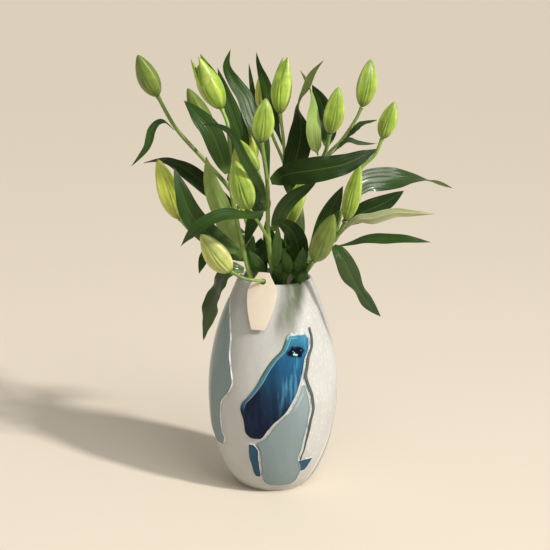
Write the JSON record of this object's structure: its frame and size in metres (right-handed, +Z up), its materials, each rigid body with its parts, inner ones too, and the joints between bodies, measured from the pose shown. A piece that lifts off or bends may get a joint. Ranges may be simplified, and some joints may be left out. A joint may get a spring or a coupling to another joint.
{
  "type": "lilies in a vase",
  "caption": "Cut lily stems with closed buds and arching leaves standing in a tall oval frosted glass vase with fused coloured glass patches and a card tag.",
  "frame": {"origin": "centre of the vase's foot, on the surface that it stands on", "axes": "+Z up; -Y towards the viewer, on the side of the blue glass patch; +X to the viewer's right"},
  "size_m": [0.439, 0.2821, 0.61],
  "materials": {
    "frosted_glass": "frosted, translucent, warm grey",
    "deep_blue_glass": "glossy deep blue",
    "grey_green_glass": "glossy grey green",
    "pale_blue_glass": "satin pale blue",
    "tag_card": "matte cream card",
    "stem_green": "waxy green plant tissue",
    "bud_green": "satin yellow-green petals",
    "leaf_green": "glossy dark green leaf"
  },
  "bodies": {
    "root": {"vase_body": "frosted_glass", "glass_patch_blue": "deep_blue_glass", "glass_patch_grey": "grey_green_glass", "glass_patch_sliver": "deep_blue_glass", "glass_patch_left": "pale_blue_glass", "gift_tag": "tag_card", "stem_left_back": "stem_green", "stem_left_front": "stem_green", "stem_center": "stem_green", "stem_right_front": "stem_green", "stem_right_back": "stem_green", "bud_far_left": "bud_green", "bud_left_top": "bud_green", "bud_center_high": "bud_green", "bud_right_upright": "bud_green", "bud_right_center": "bud_green", "bud_left_shaded": "bud_green", "bud_back_tall": "bud_green", "bud_top": "bud_green", "bud_opening_back": "bud_green", "bud_small_center": "bud_green", "bud_center_front": "bud_green", "bud_center_hidden": "bud_green", "bud_left": "bud_green", "bud_left_low": "bud_green", "bud_right_tall": "bud_green", "bud_far_right": "bud_green", "bud_center_low": "bud_green", "bud_right_low": "bud_green", "leaf_01_far_left": "leaf_green", "leaf_02_left_wide": "leaf_green", "leaf_03_left_upright": "leaf_green", "leaf_04_left_pale": "leaf_green", "leaf_05_front_low": "leaf_green", "leaf_06_left_low": "leaf_green", "leaf_07_over_lip": "leaf_green", "leaf_08_top_left": "leaf_green", "leaf_09_bract": "leaf_green", "leaf_10_top": "leaf_green", "leaf_11_behind_left": "leaf_green", "leaf_12_cupped": "leaf_green", "leaf_13_arching": "leaf_green", "leaf_14_tall": "leaf_green", "leaf_15_right_pale": "leaf_green", "leaf_16_behind_right": "leaf_green", "leaf_17_small_right": "leaf_green", "leaf_18_shiny_right": "leaf_green", "leaf_19_front_wide": "leaf_green", "leaf_20_right_glossy": "leaf_green", "leaf_21_right_under": "leaf_green", "leaf_22_right_pale": "leaf_green", "leaf_23_right_level": "leaf_green", "leaf_24_hanging_right": "leaf_green", "leaf_25_right_inner": "leaf_green", "leaf_26_crossing": "leaf_green", "leaf_27_center_dark": "leaf_green", "leaf_28_center_lit": "leaf_green", "leaf_29_drooping": "leaf_green", "leaf_30_center_low": "leaf_green", "leaf_31_back": "leaf_green"}
  },
  "joints": []
}
